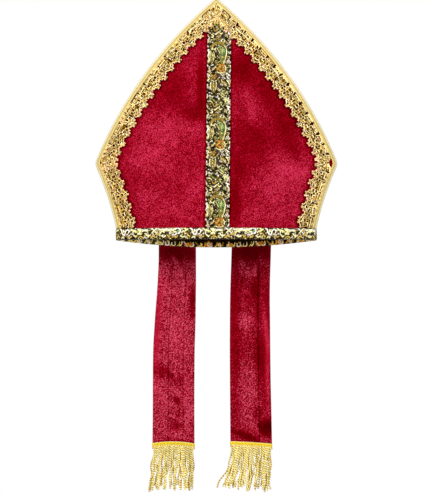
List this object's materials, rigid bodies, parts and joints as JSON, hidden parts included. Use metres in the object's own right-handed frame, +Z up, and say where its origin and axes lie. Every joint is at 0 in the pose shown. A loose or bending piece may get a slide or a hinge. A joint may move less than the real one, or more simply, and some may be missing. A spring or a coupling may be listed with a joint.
{
  "type": "costume mitre",
  "caption": "Costume bishop's mitre: pointed red velvet front and back panels with gold lace and binding, a brocade rim band and upright ribbon, and fringed velvet lappets behind.",
  "frame": {"origin": "middle of the rim opening, level with the rim's corners at the side seams, where the mitre sits on a head", "axes": "+Z up to the points, -Y to the front with the lace and the upright ribbon, +X to the right of the front view"},
  "size_m": [0.3438, 0.0981, 0.6983],
  "materials": {
    "red_velvet": "crushed velvet pile",
    "gold_binding": "gold satin tape",
    "gold_lace": "metallic gold thread lace",
    "brocade_ribbon": "metallic woven brocade",
    "gold_fringe": "twisted gold cord"
  },
  "bodies": {
    "root": {"front_panel": "red_velvet", "back_panel": "red_velvet", "front_binding": "gold_binding", "back_binding": "gold_binding", "front_band": "brocade_ribbon", "back_band": "brocade_ribbon", "front_ribbon": "brocade_ribbon", "front_lace": "gold_lace", "lappet_left": "red_velvet", "lappet_right": "red_velvet", "fringe_left": "gold_fringe", "fringe_right": "gold_fringe"}
  },
  "joints": []
}
